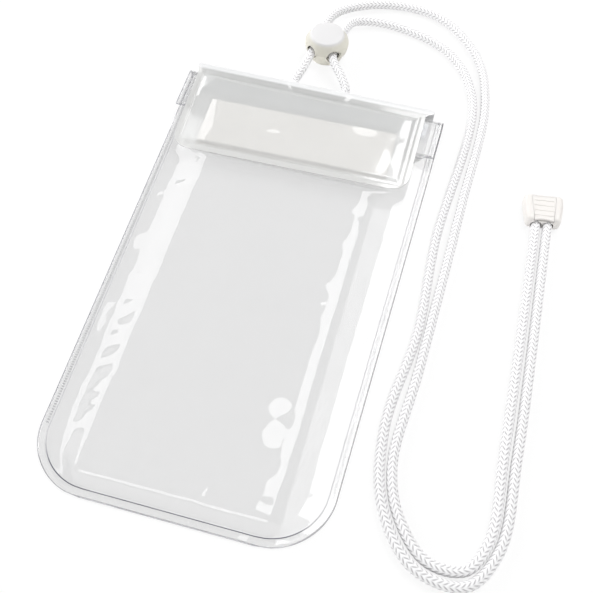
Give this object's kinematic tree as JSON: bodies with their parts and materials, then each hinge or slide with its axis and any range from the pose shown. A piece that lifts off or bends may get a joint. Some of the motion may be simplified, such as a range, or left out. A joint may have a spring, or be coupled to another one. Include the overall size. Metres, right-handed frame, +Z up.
{
  "type": "waterproof phone pouch",
  "caption": "Clear film pouch with a fold-over mouth, press zip, milky flap with hook and loop tape, and a braided neck cord with a cord lock and an end clip.",
  "frame": {"origin": "centre of the pouch without its cord, on the surface that it lies on", "axes": "+X across the pouch, +Y from its bottom edge to its flap, +Z up through its front"},
  "size_m": [0.1802, 0.2867, 0.0138],
  "materials": {
    "clear_film": "clear glossy soft film",
    "milky_film": "milky satin film",
    "tape": "woven cream hook and loop tape",
    "cord": "braided white",
    "white_plastic": "moulded warm white",
    "spring_steel": "bright wire"
  },
  "bodies": {
    "pouch": {"back_film": "clear_film", "front_film": "clear_film", "zip_channel_strip": "clear_film", "zip_rib_strip": "clear_film", "flap": "milky_film", "hook_tape": "tape", "loop_tape": "tape", "neck_cord": "cord", "cord_lock_barrel": "white_plastic", "cord_lock_spring": "spring_steel", "cord_end_case": "white_plastic", "cord_end_cover": "white_plastic"},
    "lock_button": {"cord_lock_button": "white_plastic"}
  },
  "joints": [
    {"name": "button_press", "type": "slide", "parent": "pouch", "child": "lock_button", "axis": [0, 0, -1], "range_m": [0, 0.0012], "stiffness_N_per_m": 800, "springref_m": -0.001, "deforming": ["cord_lock_spring"]}
  ]
}
